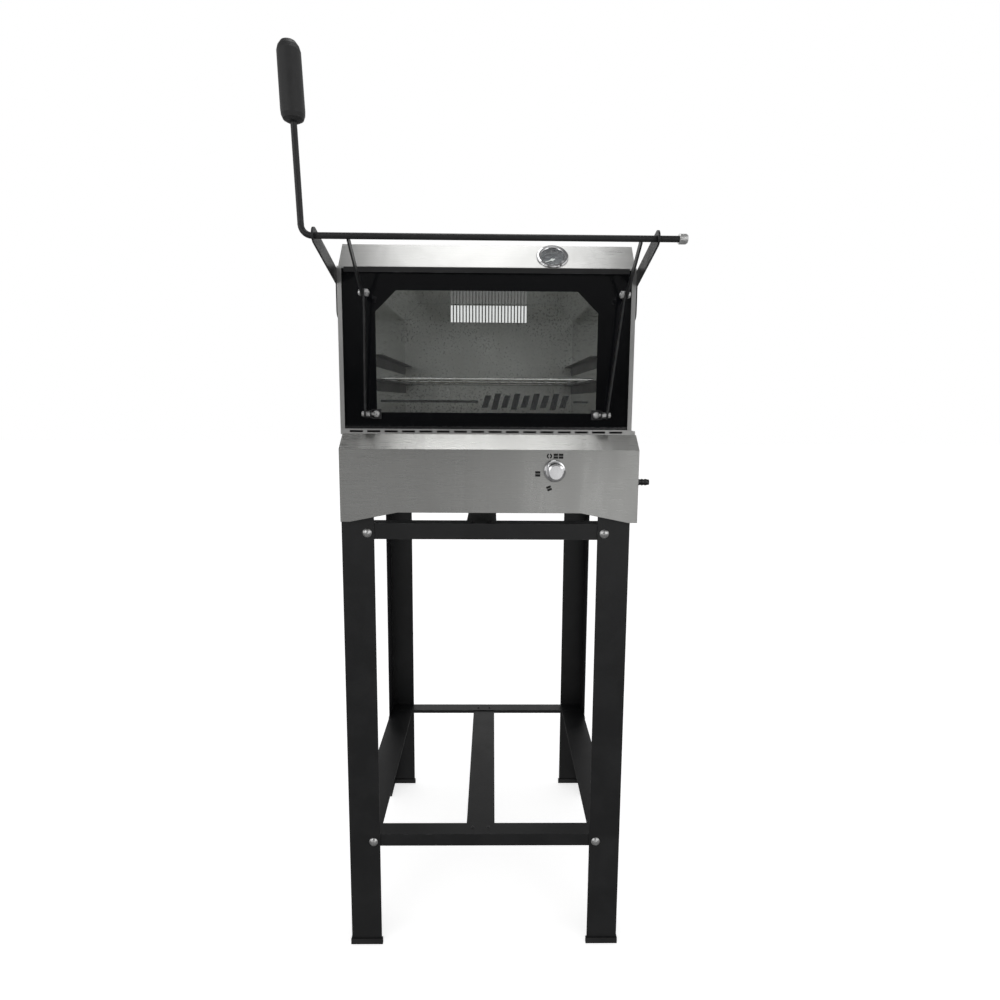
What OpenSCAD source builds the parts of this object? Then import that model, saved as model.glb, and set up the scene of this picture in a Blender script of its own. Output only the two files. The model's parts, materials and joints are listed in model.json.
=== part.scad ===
// Gas oven with a lifting glass door, on a four-legged stand.
// X runs to the right, Y to the back and Z up. The origin is on the floor, under the middle of the
// object's box. Inside frame() the front face of the control panel is at y = 0.

/* [Stand] */
// Width over the legs
stand_w = 536; // [520:1:538]
// Depth over the legs
stand_d = 519; // [510:1:519]
// Distance from the control panel's face back to the legs' front face
stand_y = 15; // [14:0.5:16]
// Height of the legs' upper ends
stand_h = 893; // [890:1:893]
// Width of each side of a leg
leg_w = 60; // [56:1:62]
// Thickness of the stand's sheet steel
stand_t = 2; // [1.5:0.1:2.2]
// Height of the upper rails' flanges
upper_rail_z = 869; // [865:1:870]
// Height of the lower rails' flanges
lower_rail_z = 240; // [150:1:400]
// Depth of a cross rail's flange
rail_flange = 32; // [28:1:36]
// Width of the centre straps
strap_w = 57; // [40:1:60]
// Sideways place of the centre straps
strap_x = -9; // [-20:1:20]
// Side of a foot cap
foot_w = 64; // [62:1:66]
// Height of a foot cap
foot_h = 12.5; // [10:0.5:20]

/* [Base] */
// Width of the control panel
panel_w = 544; // [542:1:548]
// Height of the control panel's lower corners
panel_bottom = 875; // [872:1:880]
// Height of the control panel's upper bend
panel_bend = 1009; // [1000:1:1012]
// Shift of the base to the right of the body
base_x = 6; // [0:0.5:6]
// Rise of the arch in the lower edge
arch_rise = 17.5; // [5:0.5:17.5]
// Knob's place to the right of the middle
knob_x = 124.3; // [100:0.1:150]
// Knob's height
knob_z = 970.7; // [955:0.1:975]
// Knob's diameter
knob_d = 40; // [34:1:44]
// Hose barb's height
inlet_z = 943; // [930:1:945]
// Hose barb's largest diameter
inlet_d = 13; // [11:0.5:15]

/* [Body] */
// Width of the body
body_w = 540; // [538:1:541]
// Distance from the control panel's face to the body's front lips
body_y = 35; // [34:0.5:35]
// Distance from the control panel's face to the body's back
body_back = 520; // [510:1:525]
// Height of the hood's lower front edge
hood_z = 1337; // [1336:0.5:1340]
// Height of the hood's top
body_top = 1384; // [1380:1:1390]
// Thickness of the body's sheet steel
sheet = 1.2; // [0.8:0.1:1.2]
// Half width of the chamber
chamber_half = 210; // [206:1:212]
// Height of the chamber's ceiling
ceiling_z = 1333; // [1325:1:1334]
// Chamfer between the chamber's walls and ceiling
chamfer = 40; // [20:1:45]
// Distance from the control panel's face to the chamber's back
chamber_back_y = 455; // [445:1:460]
// Number of slots in the chamber's back
slot_count = 24; // [12:2:24]
// Height of the wire rack's top
rack_z = 1139.5; // [1130:0.5:1150]

/* [Door] */
// Thickness of the glass
glass_t = 4; // [3:0.5:4]
// Half width of the clear window
window_half = 203; // [190:1:205]
// Height of the window's lower edge
window_low = 1074; // [1066:1:1090]
// Height of the window's upper edge
window_high = 1294; // [1280:1:1300]
// Chamfer of the window's upper corners
window_cut = 38; // [20:1:45]
// Height of the lower pivots
pivot_z = 1071; // [1068:1:1074]
// Distance of the lower pivots behind the control panel's face
pivot_y = 27; // [24:1:28]

/* [Lift] */
// Height of the lever shaft
shaft_z = 1353.4; // [1350:0.1:1356]
// Distance of the lever shaft in front of the control panel's face
shaft_front = 93; // [88:1:96]
// Diameter of the shaft and the lever rod
rod_d = 10; // [8:1:12]
// Shift of the two cranks to the right
lever_x = 13.8; // [0:0.1:14]
// Upper pivots, behind the shaft
crank_back = 97; // [90:1:98]
// Upper pivots, below the shaft
crank_drop = 70.3; // [66:0.1:72]
// Lean of the lever rod to the left, in degrees
lean = 2.2; // [0:0.1:4]
// Length of the grip
grip_len = 117; // [100:1:130]
// Largest diameter of the grip
grip_d = 37; // [32:1:38]

/* [Hidden] */
$fn = 48;

gap = 0.3;                              // between faces that move past each other
fit = 0.05;                             // radial clearance of a shaft in its bore
loose = 0.02;                           // keeps a nut apart from its screw
leg_low = 3;                            // the legs end this high inside their foot caps
front_y = -shaft_front - grip_d / 2;
back_y = stand_y + stand_d + (foot_w - leg_w) / 2;
stand_back = stand_y + stand_d;
upper_face = 30;                        // height of an upper rail's face
lower_face = 25;                        // height of a lower rail's face
lower_side_flange = 58;                 // the lower side rails carry a wide flange
bolt_x = 221;
bolt_side_y = 47;                       // side bolts, in from the leg's face
upper_bolt_drop = 18;                   // bolts below the upper flanges
lower_bolt_drop = 15.5;                 // bolts below the lower flanges
bolt_r = 4;
bolt_head_r = 8.6;
bolt_head_h = 4.2;
middle_y = (front_y + stand_back + bolt_head_h) / 2;
nut_r = 7.5;
nut_h = 6.5;
strap_screw_x = 15.7;
strap_screw_y = 21;
shell_half = body_w / 2;                // outer side of the base shell and the body
shell_back = back_y;
bend_y = 31;                            // depth of the panel's sloping top
slope_top = 1035;
strip_top = 1044;
deck_top = 1042;
valve_y = 16;
valve_len = 60;
pipe_y = 60;
inlet_end = 312;                        // tip of the hose barb
stem_r = 4;
burner_r = 16;
burner_y = 180;                         // where the cross tube joins the two long tubes
burner_end = 440;
slope_run = 36;                         // depth of the hood's sloping front
hood_y = body_y + 12;                   // lower front edge of the hood
slope_angle = atan2(body_top - hood_z, slope_run);
lip_w = 8;                              // visible width of a side panel's front lip
groove_back = body_y + 8;               // front face of the door groove's rear lip
frame_y = groove_back + sheet + 0.2;
floor_z = deck_top;
slot_pitch = 8;
slot_w = 4.8;
flue_half = 100;
flue_low = 1284;
flue_high = 1345;
glass_half = 266;
glass_y = body_y + 2.5;
glass_low = 1042.5;
glass_high = 1333;
print_t = 0.3;
print_y = glass_y + glass_t;
tab_x = 203.5;
bracket_t = 2;
rod_x = 220;                            // inner face of a connecting rod
rod_t = 3;
rod_w = 12;
rod_gap = 1.2;                          // between a rod's upper eye and its crank
eye_r = 7;
crank_x = 231.5;                        // inner face of a crank, from the middle of the two
shaft_end = 311;
cap_from = 305.5;
pin_r = 3;
shaft_y = -shaft_front;
top_pin = [crank_back - shaft_front, shaft_z - crank_drop];
low_pin = [pivot_y, pivot_z];
bend_r = 17;
bend_x = -275;                          // where the shaft starts to bend upwards
rod_foot = [bend_x - bend_r * cos(lean), shaft_z + bend_r - bend_r * sin(lean)];
grip_start = 152;
cap_tip = -rod_foot[0] + sin(lean) * (grip_start + grip_len - 17) + (grip_d / 2 - 0.5) * cos(lean);
arm_w = 26;
arm_drop = 15.4;                        // slope of a side arm, in degrees
arm_bolts_z = [1268, 1314];
arm_bolt_y = 52;
dial_x = 120;
dial_along = 29.6;                      // from the hood's lower edge up the slope
bezel_r = 29.5;
dial_r = 22;

// Every part is drawn with the control panel's face at y = 0.
module frame() {
    translate([0, -middle_y, 0]) children();
}

// Draws its children on the right and mirrored on the left.
module both_sides() {
    for (side = [0, 1]) mirror([side, 0, 0]) children();
}

// Turns a flat outline of (y, z) points into a bar along X.
module along_x(from, to) {
    translate([from, 0, 0]) rotate([90, 0, 90]) linear_extrude(to - from) children();
}

// Turns a flat outline of (x, z) points into a bar along Y.
module along_y(from, to) {
    translate([0, to, 0]) rotate([90, 0, 0]) linear_extrude(to - from) children();
}

module box(from, to) {
    translate(from) cube([to[0] - from[0], to[1] - from[1], to[2] - from[2]]);
}

// A round bar between two heights, widths or depths.
module rod_along_x(r, from, to, y, z) {
    translate([from, y, z]) rotate([0, 90, 0]) cylinder(r = r, h = to - from);
}

module rod_along_y(r, from, to, x, z) {
    translate([x, from, z]) rotate([-90, 0, 0]) cylinder(r = r, h = to - from);
}

// A bent round bar in an upright plane, from one angle on, with a slight swelling at each end.
module elbow(start, turn, radius, d) {
    rotate([90, 0, 0]) {
        rotate([0, 0, start]) rotate_extrude(angle = turn) translate([radius, 0]) circle(d = d);
        for (a = [start, start + turn]) rotate([0, 0, a]) translate([radius, 0, 0]) sphere(d = d + 0.4);
    }
}

// A low domed head that stands on z = 0.
module dome(r, h) {
    ball = (r * r + h * h) / (2 * h);
    intersection() {
        translate([0, 0, h - ball]) sphere(r = ball);
        cylinder(r = r, h = h);
    }
}

/* ---- stand ---- */

// Places a part of the front right corner at any corner of the stand.
module corner(side, rear) {
    translate([0, stand_y + stand_d / 2, 0]) mirror([0, rear, 0])
        translate([0, -stand_d / 2, 0]) mirror([side < 0 ? 1 : 0, 0, 0]) children();
}

module angle_section() {
    translate([stand_w / 2 - leg_w, 0]) square([leg_w, stand_t]);
    translate([stand_w / 2 - stand_t, 0]) square([stand_t, leg_w]);
}

module bolt_holes() {
    for (z = [upper_rail_z - upper_bolt_drop, lower_rail_z - lower_bolt_drop]) {
        rod_along_y(bolt_r, -1, leg_w, bolt_x, z);
        rod_along_x(bolt_r, stand_w / 2 - leg_w / 2, stand_w / 2 + 1, bolt_side_y, z);
    }
}

module leg(side, rear) {
    color("#17181a") frame() corner(side, rear) difference() {
        translate([0, 0, leg_low]) linear_extrude(stand_h - leg_low) angle_section();
        bolt_holes();
    }
}

// Each cap is an angle too, with a groove that takes the leg's lower end.
module foot_caps() {
    edge = (foot_w - leg_w) / 2;
    outer = stand_w / 2 + edge;
    wall = stand_t + 2 * edge;
    color("#101112") frame() for (side = [-1, 1], rear = [0, 1]) corner(side, rear) difference() {
        union() {
            box([outer - foot_w, -edge, 0], [outer, wall - edge, foot_h]);
            box([outer - wall, -edge, 0], [outer, foot_w - edge, foot_h]);
        }
        translate([0, 0, leg_low]) linear_extrude(foot_h) angle_section();
    }
}

// Cross rail behind the front or rear leg faces.
module cross_rail(top, face, drop, rear) {
    half = stand_w / 2 - 2 * stand_t;
    color("#1b1c1e") frame() corner(1, rear) difference() {
        union() {
            box([-half, stand_t, top - face], [half, 2 * stand_t, top]);
            box([-half, stand_t, top - stand_t], [half, stand_t + rail_flange, top]);
        }
        for (side = [-1, 1]) rod_along_y(bolt_r, -1, leg_w, side * bolt_x, top - drop);
        for (side = [-1, 1])
            translate([strap_x + side * strap_screw_x, strap_screw_y, top - 10])
                cylinder(r = 2, h = 20);
    }
}

// Side rail between the flanges of the cross rails.
module side_rail(top, face, drop, flange, side) {
    outer = stand_w / 2 - stand_t;
    near = stand_t + rail_flange + 0.5;
    far = stand_d - near;
    color("#1b1c1e") frame() corner(side, 0) difference() {
        union() {
            box([outer - stand_t, near, top - face], [outer, far, top]);
            box([outer - flange, near, top - stand_t], [outer, far, top]);
        }
        for (y = [bolt_side_y, stand_d - bolt_side_y])
            rod_along_x(bolt_r, outer - 10, outer + 10, y, top - drop);
    }
}

module upper_cross_rail(rear) {
    cross_rail(upper_rail_z, upper_face, upper_bolt_drop, rear);
}

module lower_cross_rail(rear) {
    cross_rail(lower_rail_z, lower_face, lower_bolt_drop, rear);
}

module upper_side_rail(side) {
    side_rail(upper_rail_z, upper_face, upper_bolt_drop, rail_flange, side);
}

module lower_side_rail(side) {
    side_rail(lower_rail_z, lower_face, lower_bolt_drop, lower_side_flange, side);
}

module strap(top) {
    near = stand_y + 2 * stand_t + 0.5;
    color("#242527") frame() difference() {
        box([strap_x - strap_w / 2, near, top - 2 * stand_t],
            [strap_x + strap_w / 2, stand_y + stand_back - near, top - stand_t]);
        for (side = [-1, 1], y = [stand_y + strap_screw_y, stand_back - strap_screw_y])
            translate([strap_x + side * strap_screw_x, y, top - 10]) cylinder(r = 2, h = 20);
    }
}

module strap_screws() {
    color("#2b2c2e") frame()
        for (top = [upper_rail_z, lower_rail_z], side = [-1, 1],
             y = [stand_y + strap_screw_y, stand_back - strap_screw_y])
            translate([strap_x + side * strap_screw_x, y, top]) {
                dome(3.6, 2.2);
                translate([0, 0, -10]) cylinder(r = 2, h = 10);
            }
}

// The two bolts of one corner at one height, drawn by a child that points along +Z.
module at_bolts(z) {
    translate([bolt_x, 0, z]) rotate([90, 0, 0]) children();
    translate([stand_w / 2, bolt_side_y, z]) rotate([0, 90, 0]) children();
}

module at_all_bolts() {
    for (side = [-1, 1], rear = [0, 1],
         z = [upper_rail_z - upper_bolt_drop, lower_rail_z - lower_bolt_drop])
        corner(side, rear) at_bolts(z) children();
}

module frame_bolts() {
    color("#b9bbbd") frame() at_all_bolts() {
        dome(bolt_head_r, bolt_head_h);
        translate([0, 0, -2 * stand_t - nut_h - 3]) cylinder(r = bolt_r, h = 2 * stand_t + nut_h + 3);
    }
}

module frame_nuts() {
    color("#a9abad") frame() at_all_bolts()
        translate([0, 0, -2 * stand_t - nut_h]) difference() {
            cylinder(r = nut_r, h = nut_h, $fn = 6);
            translate([0, 0, -1]) cylinder(r = bolt_r, h = nut_h + 2);
        }
}

/* ---- base ---- */

// The base sits a little to the right of the body.
module base() {
    frame() translate([base_x, 0, 0]) children();
}

// The returns at the ends stop above the legs.
module control_panel() {
    half = panel_w / 2;
    color("#a8a9a6") base() difference() {
        union() {
            along_x(-half, half) polygon([[0, panel_bottom], [0, panel_bend], [bend_y, slope_top],
                [bend_y, slope_top - 1.6], [sheet, panel_bend - 0.6], [sheet, panel_bottom]]);
            both_sides() along_x(half - sheet, half) polygon([[0, panel_bottom], [0, panel_bend],
                [bend_y, slope_top], [bend_y, stand_h], [12, stand_h], [12, panel_bottom]]);
        }
        along_y(-1, sheet + 1) polygon([[-255, panel_bottom - 1], [-255, panel_bottom],
            [-168, panel_bottom + arch_rise], [168, panel_bottom + arch_rise],
            [255, panel_bottom], [255, panel_bottom - 1]]);
        rod_along_y(6, -1, sheet + 1, knob_x - base_x, knob_z);
    }
}

module vent_strip() {
    slot = 24;
    pitch = 32;
    color("#9a9b99") frame() difference() {
        box([-body_w / 2 + 1, bend_y, slope_top - 1.5], [body_w / 2 - 1, bend_y + sheet, strip_top]);
        for (i = [-8 : 7])
            box([(i + 0.5) * pitch - slot / 2, bend_y - 1, slope_top + 2.5],
                [(i + 0.5) * pitch + slot / 2, bend_y + 2, slope_top + 6]);
    }
}

module base_shell() {
    color("#8f9190") base() difference() {
        union() {
            both_sides() along_x(shell_half - sheet, shell_half) polygon([
                [sheet + 0.3, stand_h], [sheet + 0.3, panel_bend - 1.5],
                [bend_y - 0.5, slope_top - 3], [bend_y + sheet + 0.3, slope_top - 3],
                [bend_y + sheet + 0.3, deck_top], [shell_back, deck_top],
                [shell_back, stand_h]]);
            box([-shell_half, shell_back - sheet, stand_h], [shell_half, shell_back, deck_top]);
        }
        rod_along_x(8, shell_half - 10, shell_half + 10, pipe_y, inlet_z);
        for (i = [-4 : 4])
            box([i * 50 - 16, shell_back - 5, 940], [i * 50 + 16, shell_back + 1, 946]);
    }
}

module base_floor() {
    half = shell_half - sheet;
    color("#8b8d8c") base() difference() {
        box([-half, sheet + 0.3, stand_h], [half, shell_back - sheet, stand_h + sheet]);
        for (i = [-3 : 3], y = [150, 350])
            box([i * 55 - 4, y - 40, stand_h - 1], [i * 55 + 4, y + 40, stand_h + 3]);
    }
}

module base_deck() {
    half = shell_half - sheet;
    color("#929492") difference() {
        base() box([-half, bend_y + sheet, deck_top - sheet], [half, shell_back - sheet, deck_top]);
        frame() both_sides() for (i = [0 : 3])
            box([186, 90 + i * 88, deck_top - 5], [204, 160 + i * 88, deck_top + 1]);
    }
}

module gas_inlet() {
    r = inlet_d / 2;
    wall = shell_half + base_x;
    barbs = 4;
    pitch = (inlet_end - wall - 9) / barbs;
    color("#3c3d3f") frame() translate([0, pipe_y, inlet_z]) rotate([0, 90, 0]) difference() {
        union() {
            translate([0, 0, 252]) cylinder(r = 7.5, h = wall + 4 - 252);
            translate([0, 0, wall]) cylinder(r = 10.5, h = 6, $fn = 6);
            translate([0, 0, wall + 6]) cylinder(r = r - 1.2, h = inlet_end - wall - 6);
            for (i = [0 : barbs - 1])
                translate([0, 0, wall + 8 + i * pitch]) rotate_extrude()
                    polygon([[2.5, 0], [r, 0], [r, 1.2], [r - 1.2, pitch - 1.2], [2.5, pitch - 1.2]]);
        }
        translate([0, 0, 240]) cylinder(r = 2.5, h = 100);
        translate([0, 0, 240]) cylinder(r = 5, h = 20);
    }
}

// The pipe runs in from the barb and turns up into the valve.
module supply_pipe() {
    turn = 12;
    color("#b98a52") frame() translate([0, pipe_y, inlet_z]) difference() {
        union() {
            rod_along_x(5, knob_x + turn, 260, 0, 0);
            translate([knob_x + turn, 0, turn]) elbow(180, 90, turn, 10);
            translate([knob_x, 0, turn]) cylinder(r = 5, h = knob_z - inlet_z - turn - 8);
        }
        rod_along_x(3.5, knob_x + turn + 0.5, 261, 0, 0);
    }
}

module gas_valve() {
    color("#b59a5a") frame() difference() {
        union() {
            box([knob_x - 12, valve_y, knob_z - 12], [knob_x + 12, valve_y + valve_len, knob_z + 12]);
            rod_along_y(9, sheet + 0.8, valve_y, knob_x, knob_z);
        }
        rod_along_y(stem_r + fit, 0, valve_y + 20, knob_x, knob_z);
        translate([knob_x, pipe_y, knob_z - 13]) cylinder(r = 5, h = 5);
        rod_along_y(4, valve_y + valve_len - 10, valve_y + valve_len + 1, knob_x, knob_z);
    }
}

module valve_stem() {
    color("#c9c9c4") frame() rod_along_y(stem_r, -18, valve_y + 18, knob_x, knob_z);
}

// A round skirt with an upright grip between two flats.
module control_knob() {
    r = knob_d / 2;
    grip_half = 12.6;
    color("#c4c5c6") frame() translate([knob_x, 0, knob_z]) rotate([90, 0, 0]) difference() {
        union() {
            translate([0, 0, 0.8]) rotate_extrude() polygon([[0, 0], [r, 0], [r, 3.6], [r - 1, 5],
                [r - 4, 6], [0, 6]]);
            intersection() {
                translate([0, 0, 4]) rotate_extrude() polygon([[0, 0], [r - 3, 0], [r - 3.6, 20],
                    [r - 5, 22.6], [r - 8, 24], [0, 24]]);
                translate([-grip_half, -r, 0]) cube([2 * grip_half, 2 * r, 40]);
            }
        }
        translate([0, 0, -1]) cylinder(r = stem_r, h = 19);
    }
}

module injector() {
    from = valve_y + valve_len - 10;
    color("#c2a24f") frame() difference() {
        union() {
            rod_along_y(4, from, from + 10, knob_x, knob_z);
            translate([knob_x, from + 10, knob_z]) rotate([-90, 0, 0]) cylinder(r = 6.5, h = 5, $fn = 6);
            rod_along_y(3.6, from + 14, from + 21, knob_x, knob_z);
        }
        rod_along_y(0.6, from + 12, from + 22, knob_x, knob_z);
        rod_along_y(2, from - 1, from + 13, knob_x, knob_z);
    }
}

// Two long tubes and a cross tube, with a bell at the front of the right one.
module burner() {
    color("#6d6a66") frame() difference() {
        union() {
            rod_along_y(burner_r, 92, burner_end, knob_x, knob_z);
            rod_along_y(burner_r, burner_y - burner_r, burner_end, -knob_x, knob_z);
            rod_along_x(burner_r - 2, -knob_x, knob_x, burner_y, knob_z);
        }
        rod_along_y(burner_r - 1.5, 91, burner_end - 2, knob_x, knob_z);
        rod_along_y(burner_r - 1.5, burner_y - burner_r + 2, burner_end - 2, -knob_x, knob_z);
        rod_along_x(burner_r - 3.5, -knob_x, knob_x, burner_y, knob_z);
        for (side = [-1, 1], i = [0 : 14])
            translate([side * knob_x, burner_y + 30 + i * 15, knob_z]) cylinder(r = 1.6, h = 20);
    }
}

module burner_brackets() {
    half = 150;
    top = knob_z - burner_r;
    color("#7f8180") frame() for (y = [225, 405]) {
        box([-half, y, top - 2], [half, y + 22, top]);
        both_sides() box([half - 2, y, stand_h + sheet], [half, y + 22, top]);
    }
}

/* ---- body ---- */

// The hood's slope, moved inwards by a distance.
function slope_at(z, inwards) = hood_y + (z - hood_z) / tan(slope_angle) + inwards / sin(slope_angle);

module side_outline() {
    under = body_top - sheet;
    polygon([[body_y, deck_top], [body_y, 1335], [slope_at(hood_z, sheet), 1335],
        [slope_at(hood_z, sheet), hood_z], [slope_at(under, sheet), under],
        [body_back, under], [body_back, deck_top]]);
}

module side_panel(side) {
    outer = body_w / 2;
    color("#a5a6a4") frame() mirror([side < 0 ? 1 : 0, 0, 0]) difference() {
        union() {
            along_x(outer - sheet, outer) side_outline();
            box([outer - lip_w, body_y, deck_top], [outer, body_y + sheet, 1335]);
            box([outer - 15, groove_back, deck_top], [outer, groove_back + sheet, 1333]);
        }
        for (z = arm_bolts_z) rod_along_x(pin_r, outer - 5, outer + 5, arm_bolt_y, z);
    }
}

module hood() {
    half = body_w / 2;
    under = body_top - sheet;
    color("#a8a9a7") frame() difference() {
        union() {
            along_x(-half, half) polygon([[hood_y, hood_z], [slope_at(body_top, 0), body_top],
                [body_back + sheet, body_top], [body_back + sheet, body_top - 22],
                [body_back, body_top - 22], [body_back, under], [slope_at(under, sheet), under],
                [slope_at(hood_z, sheet), hood_z]]);
            box([-half + sheet + 0.1, hood_y, hood_z - sheet], [half - sheet - 0.1, hood_y + 13, hood_z]);
        }
        on_slope() translate([0, 0, -20]) cylinder(r = dial_r + 1.6, h = 40);
    }
}

module back_panel() {
    half = body_w / 2 - sheet;
    color("#9c9e9c") frame() difference() {
        box([-half, body_back - sheet, deck_top], [half, body_back, body_top - sheet]);
        box([-flue_half, body_back - 5, flue_low + sheet], [flue_half, body_back + 1, flue_high]);
    }
}

// The chamber's section, grown outwards by a distance.
module chamber_section(grow, low) {
    half = chamber_half + grow;
    top = ceiling_z + grow;
    cut = chamfer + grow * (2 - sqrt(2));
    polygon([[-half, low], [-half, top - cut], [-half + cut, top], [half - cut, top],
        [half, top - cut], [half, low]]);
}

module front_frame() {
    half = body_w / 2 - sheet - 0.1;
    color("#8d8f8e") frame() difference() {
        box([-half, frame_y, deck_top], [half, frame_y + sheet, hood_z - sheet - 0.2]);
        along_y(frame_y - 1, frame_y + 5) chamber_section(0, floor_z + 6);
    }
}

module chamber_lining() {
    color("#9fa19f") frame() difference() {
        along_y(frame_y + sheet, chamber_back_y) difference() {
            chamber_section(sheet, floor_z);
            chamber_section(0, floor_z - 1);
        }
        on_slope() translate([0, 0, -80]) cylinder(r = 5, h = 60);
    }
}

module chamber_back() {
    color("#9fa19f") frame() difference() {
        along_y(chamber_back_y, chamber_back_y + sheet) chamber_section(sheet, floor_z);
        for (i = [0 : slot_count - 1]) {
            x = (i - (slot_count - 1) / 2) * slot_pitch;
            box([x - slot_w / 2, chamber_back_y - 1, 1290], [x + slot_w / 2, chamber_back_y + 3, 1331]);
        }
    }
}

module flue_sleeve() {
    color("#8a8c8b") frame() along_y(chamber_back_y + sheet, body_back - sheet) difference() {
        translate([-flue_half - sheet, flue_low])
            square([2 * (flue_half + sheet), flue_high + sheet - flue_low]);
        translate([-flue_half, flue_low + sheet]) square([2 * flue_half, flue_high - flue_low - sheet]);
    }
}

module refractory_stone() {
    color("#b7a793") frame() box([-180, 60, floor_z], [180, chamber_back_y - 15, floor_z + 16]);
}

module insulation() {
    half = body_w / 2 - sheet - 0.2;
    top = body_top - sheet - 0.2;
    color("#e4dfcf") frame() {
        along_y(112, chamber_back_y) difference() {
            translate([-half, floor_z + 0.2]) square([2 * half, top - floor_z - 0.2]);
            chamber_section(sheet + 0.2, floor_z - 1);
        }
        along_y(chamber_back_y + sheet + 0.2, body_back - sheet - 0.2) difference() {
            translate([-half, floor_z + 0.2]) square([2 * half, top - floor_z - 0.2]);
            translate([-flue_half - sheet - 0.2, flue_low - 0.2])
                square([2 * (flue_half + sheet + 0.2), flue_high + sheet + 0.4 - flue_low]);
        }
    }
}

// Two angle rails on each wall of the chamber.
module rack_rails() {
    seat = rack_z - 5;
    color("#2f3031") frame() both_sides() for (top = [seat, seat + 46]) {
        box([chamber_half - 2, 50, top - 21], [chamber_half, chamber_back_y - 2, top]);
        box([chamber_half - 18, 50, top - 2], [chamber_half - 2, chamber_back_y - 2, top]);
    }
}

module wire_rack() {
    r = 2.5;
    thin = 1.6;
    half = 199;
    near = 66;
    far = chamber_back_y - 10;
    z = rack_z - r;
    color("#cfd0d1") frame() {
        for (side = [-1, 1]) rod_along_y(r, near, far, side * half, z);
        for (y = [near, (near + far) / 2, far]) rod_along_x(r, -half, half, y, z);
        for (i = [-7 : 7]) rod_along_y(thin, near, far, i * 25, z + 0.4);
        for (side = [-1, 1], y = [near, far]) translate([side * half, y, z]) sphere(r = r);
    }
}

/* ---- thermometer, drawn on the hood's slope with +Z out of it ---- */

module on_slope() {
    translate([dial_x, hood_y + dial_along * cos(slope_angle), hood_z + dial_along * sin(slope_angle)])
        rotate([slope_angle, 0, 0]) children();
}

module thermometer_case() {
    color("#d0d1d2") frame() on_slope() {
        rotate_extrude($fn = 64) polygon([[0, -12], [dial_r + 1.4, -12], [dial_r + 1.4, 0],
            [bezel_r, 0], [bezel_r, 1.4], [bezel_r - 1.6, 3.2], [bezel_r - 4, 3.8],
            [dial_r + 1, 2.4], [dial_r, 1.6], [dial_r, -10.8], [0, -10.8]]);
        translate([0, 0, -72]) cylinder(r = 3.2, h = 60);
        translate([0, 0, -22]) cylinder(r = 8, h = 10, $fn = 6);
    }
}

module thermometer_dial() {
    color("#3a4043") frame() on_slope() difference() {
        translate([0, 0, -10.8]) cylinder(r = dial_r - 0.1, h = 2.3);
        translate([0, 0, -12]) cylinder(r = 1 + fit, h = 5);
    }
}

// The pointer lies along the slope's own left and a little down.
module thermometer_needle() {
    color("#e6e6e0") frame() on_slope() {
        translate([0, 0, -10.5]) cylinder(r = 1, h = 4.5);
        translate([0, 0, -8.2]) cylinder(r = 3, h = 1.2);
        rotate([0, 0, 205]) translate([0, 0, -7.9]) linear_extrude(0.6)
            polygon([[-6, -1.3], [-6, 1.3], [16.5, 0.45], [16.5, -0.45]]);
    }
}

module thermometer_lens() {
    color("#dfe8ea", 0.35) frame() on_slope() cylinder(r = dial_r - 0.1, h = 1.5);
}

/* ---- door ---- */

module window_outline() {
    polygon([[-window_half, window_low], [-window_half, window_high - window_cut],
        [-window_half + window_cut, window_high], [window_half - window_cut, window_high],
        [window_half, window_high - window_cut], [window_half, window_low]]);
}

module door_glass() {
    color("#2b3033", 0.5) frame() difference() {
        box([-glass_half, glass_y, glass_low], [glass_half, glass_y + glass_t, glass_high]);
        for (side = [-1, 1]) rod_along_y(pin_r, glass_y - 1, print_y + 1, side * tab_x, pivot_z);
    }
}

module door_print() {
    color("#0d0e10") frame() difference() {
        box([-glass_half + 2, print_y, glass_low + 1], [glass_half - 2, print_y + print_t, glass_high - 1]);
        along_y(print_y - 1, print_y + 2) window_outline();
        for (side = [-1, 1]) rod_along_y(6, print_y - 1, print_y + 2, side * tab_x, pivot_z);
    }
}

// A channel on the glass's top edge.
module door_top_channel() {
    half = 258;
    front = glass_y - 0.8;
    back = print_y + print_t + 0.6;
    color("#3b3d3f") frame() difference() {
        box([-half, front, glass_high - 8], [half, back, glass_high + 1]);
        box([-half - 1, glass_y, glass_high - 9], [half + 1, print_y + print_t, glass_high]);
    }
}

// A plate on the glass with a tab that stands out to the front and holds the pivot bolt.
module corner_brackets() {
    front = glass_y - bracket_t;
    color("#26282a") frame() both_sides() difference() {
        union() {
            box([tab_x - 9, front, pivot_z - 9], [tab_x + 9, glass_y, pivot_z + 9]);
            box([tab_x + 7, pivot_y - 7, pivot_z - 7], [tab_x + 9, glass_y, pivot_z + 7]);
        }
        rod_along_y(pin_r, front - 1, glass_y + 1, tab_x, pivot_z);
        rod_along_x(pin_r, tab_x, tab_x + 12, pivot_y, pivot_z);
    }
}

// The screws pass through the glass into thin round nuts behind it.
module clamp_screws() {
    front = glass_y - bracket_t;
    color("#b4b6b8") frame() both_sides() {
        translate([tab_x, front, pivot_z]) rotate([90, 0, 0]) difference() {
            rotate_extrude() polygon([[0, 0], [6.5, 0], [6.5, 1.4], [5.2, 3.4], [3.6, 4], [0, 4]]);
            translate([0, 0, 2]) cylinder(r = 2.3, h = 4, $fn = 6);
        }
        rod_along_y(pin_r, front, print_y + 1.2, tab_x, pivot_z);
        difference() {
            rod_along_y(5.5, print_y, print_y + 1.2, tab_x, pivot_z);
            rod_along_y(pin_r + loose, print_y - 1, print_y + 2, tab_x, pivot_z);
        }
    }
}

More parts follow.
